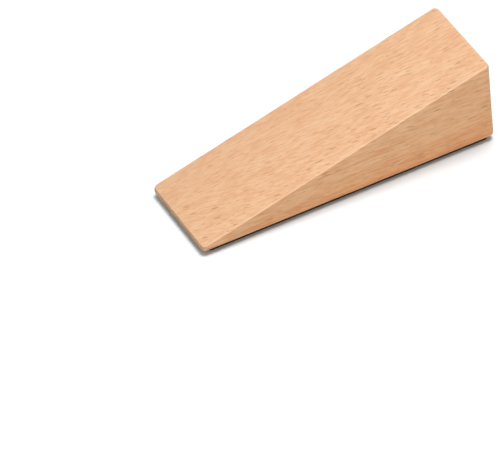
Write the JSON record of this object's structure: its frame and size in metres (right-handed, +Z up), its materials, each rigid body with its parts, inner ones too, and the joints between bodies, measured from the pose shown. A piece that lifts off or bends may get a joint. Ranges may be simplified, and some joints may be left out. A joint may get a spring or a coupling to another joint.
{
  "type": "door wedge",
  "caption": "Solid beech door wedge tapering from a tall heel to a thin tip, with a black foam-rubber grip pad stuck to its base.",
  "frame": {"origin": "middle of the footprint at floor level, on the underside of the grip pad", "axes": "+X from the tip toward the thick end, +Z up, +Y across the wedge"},
  "size_m": [0.14, 0.047, 0.0408],
  "materials": {
    "beech": "matte",
    "adhesive": "satin",
    "foam_rubber": "matte"
  },
  "bodies": {
    "root": {"wedge_block": "beech", "adhesive_film": "adhesive", "grip_pad": "foam_rubber"}
  },
  "joints": []
}
